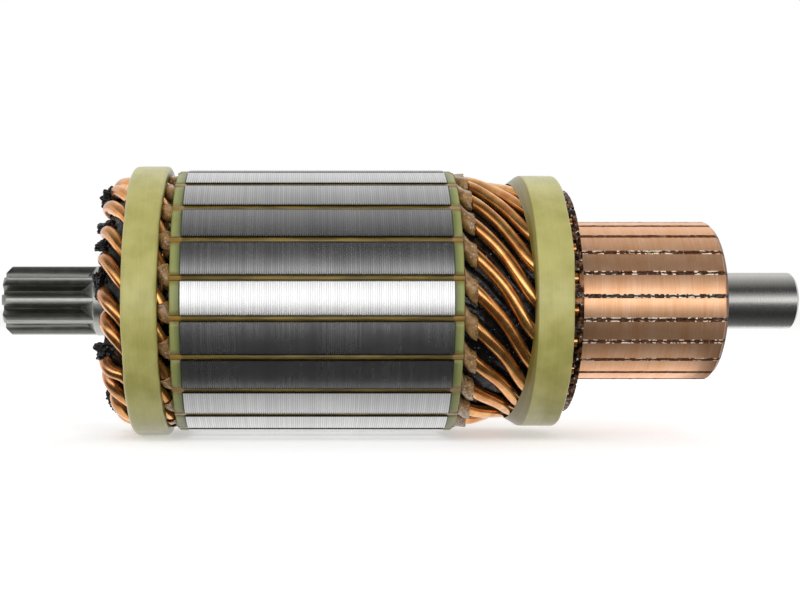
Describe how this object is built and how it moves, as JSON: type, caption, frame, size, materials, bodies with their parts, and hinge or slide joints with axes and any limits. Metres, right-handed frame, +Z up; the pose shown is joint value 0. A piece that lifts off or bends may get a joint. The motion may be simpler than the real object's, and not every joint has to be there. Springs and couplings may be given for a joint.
{
  "type": "motor armature",
  "caption": "Armature of a geared starter motor: slotted steel core with a hairpin winding and glass bands, riser commutator, and a pinion cut on the shaft.",
  "frame": {"origin": "on the shaft's axis, midway along the overall length", "axes": "+X along the shaft towards the commutator end, +Z up as the part lies on its side, +Y across"},
  "size_m": [0.1952, 0.0668, 0.0668],
  "materials": {
    "shaft_steel": "ground and oil-darkened steel, bright on the tooth crests and the journal",
    "core_steel": "turned edges of stacked electrical steel, satin",
    "end_disc": "green-yellow pressed insulation board",
    "slot_paper": "varnished brown slot insulation",
    "enamelled_copper": "copper under clear amber enamel, glossy",
    "glass_band": "resin-soaked glass tape, semi-gloss",
    "black_insulation": "black varnished insulation, glossy and flaked",
    "commutator_copper": "turned copper with brush marks",
    "mica": "dull grey mica",
    "hub_resin": "dark brown moulding resin"
  },
  "bodies": {
    "root": {"shaft": "shaft_steel", "lamination_stack": "core_steel", "end_disc_drive": "end_disc", "end_disc_commutator": "end_disc", "slot_liners": "slot_paper", "layer_insulation_drive": "black_insulation", "layer_insulation_commutator": "black_insulation", "end_collar_drive": "black_insulation", "band_drive": "glass_band", "band_commutator": "glass_band", "commutator_hub": "hub_resin", "mica_separators": "mica", "hairpin_01": "enamelled_copper", "hairpin_02": "enamelled_copper", "hairpin_03": "enamelled_copper", "hairpin_04": "enamelled_copper", "hairpin_05": "enamelled_copper", "hairpin_06": "enamelled_copper", "hairpin_07": "enamelled_copper", "hairpin_08": "enamelled_copper", "hairpin_09": "enamelled_copper", "hairpin_10": "enamelled_copper", "hairpin_11": "enamelled_copper", "hairpin_12": "enamelled_copper", "hairpin_13": "enamelled_copper", "hairpin_14": "enamelled_copper", "hairpin_15": "enamelled_copper", "hairpin_16": "enamelled_copper", "hairpin_17": "enamelled_copper", "hairpin_18": "enamelled_copper", "hairpin_19": "enamelled_copper", "hairpin_20": "enamelled_copper", "hairpin_21": "enamelled_copper", "hairpin_22": "enamelled_copper", "commutator_bar_01": "commutator_copper", "commutator_bar_02": "commutator_copper", "commutator_bar_03": "commutator_copper", "commutator_bar_04": "commutator_copper", "commutator_bar_05": "commutator_copper", "commutator_bar_06": "commutator_copper", "commutator_bar_07": "commutator_copper", "commutator_bar_08": "commutator_copper", "commutator_bar_09": "commutator_copper", "commutator_bar_10": "commutator_copper", "commutator_bar_11": "commutator_copper", "commutator_bar_12": "commutator_copper", "commutator_bar_13": "commutator_copper", "commutator_bar_14": "commutator_copper", "commutator_bar_15": "commutator_copper", "commutator_bar_16": "commutator_copper", "commutator_bar_17": "commutator_copper", "commutator_bar_18": "commutator_copper", "commutator_bar_19": "commutator_copper", "commutator_bar_20": "commutator_copper", "commutator_bar_21": "commutator_copper", "commutator_bar_22": "commutator_copper"}
  },
  "joints": []
}
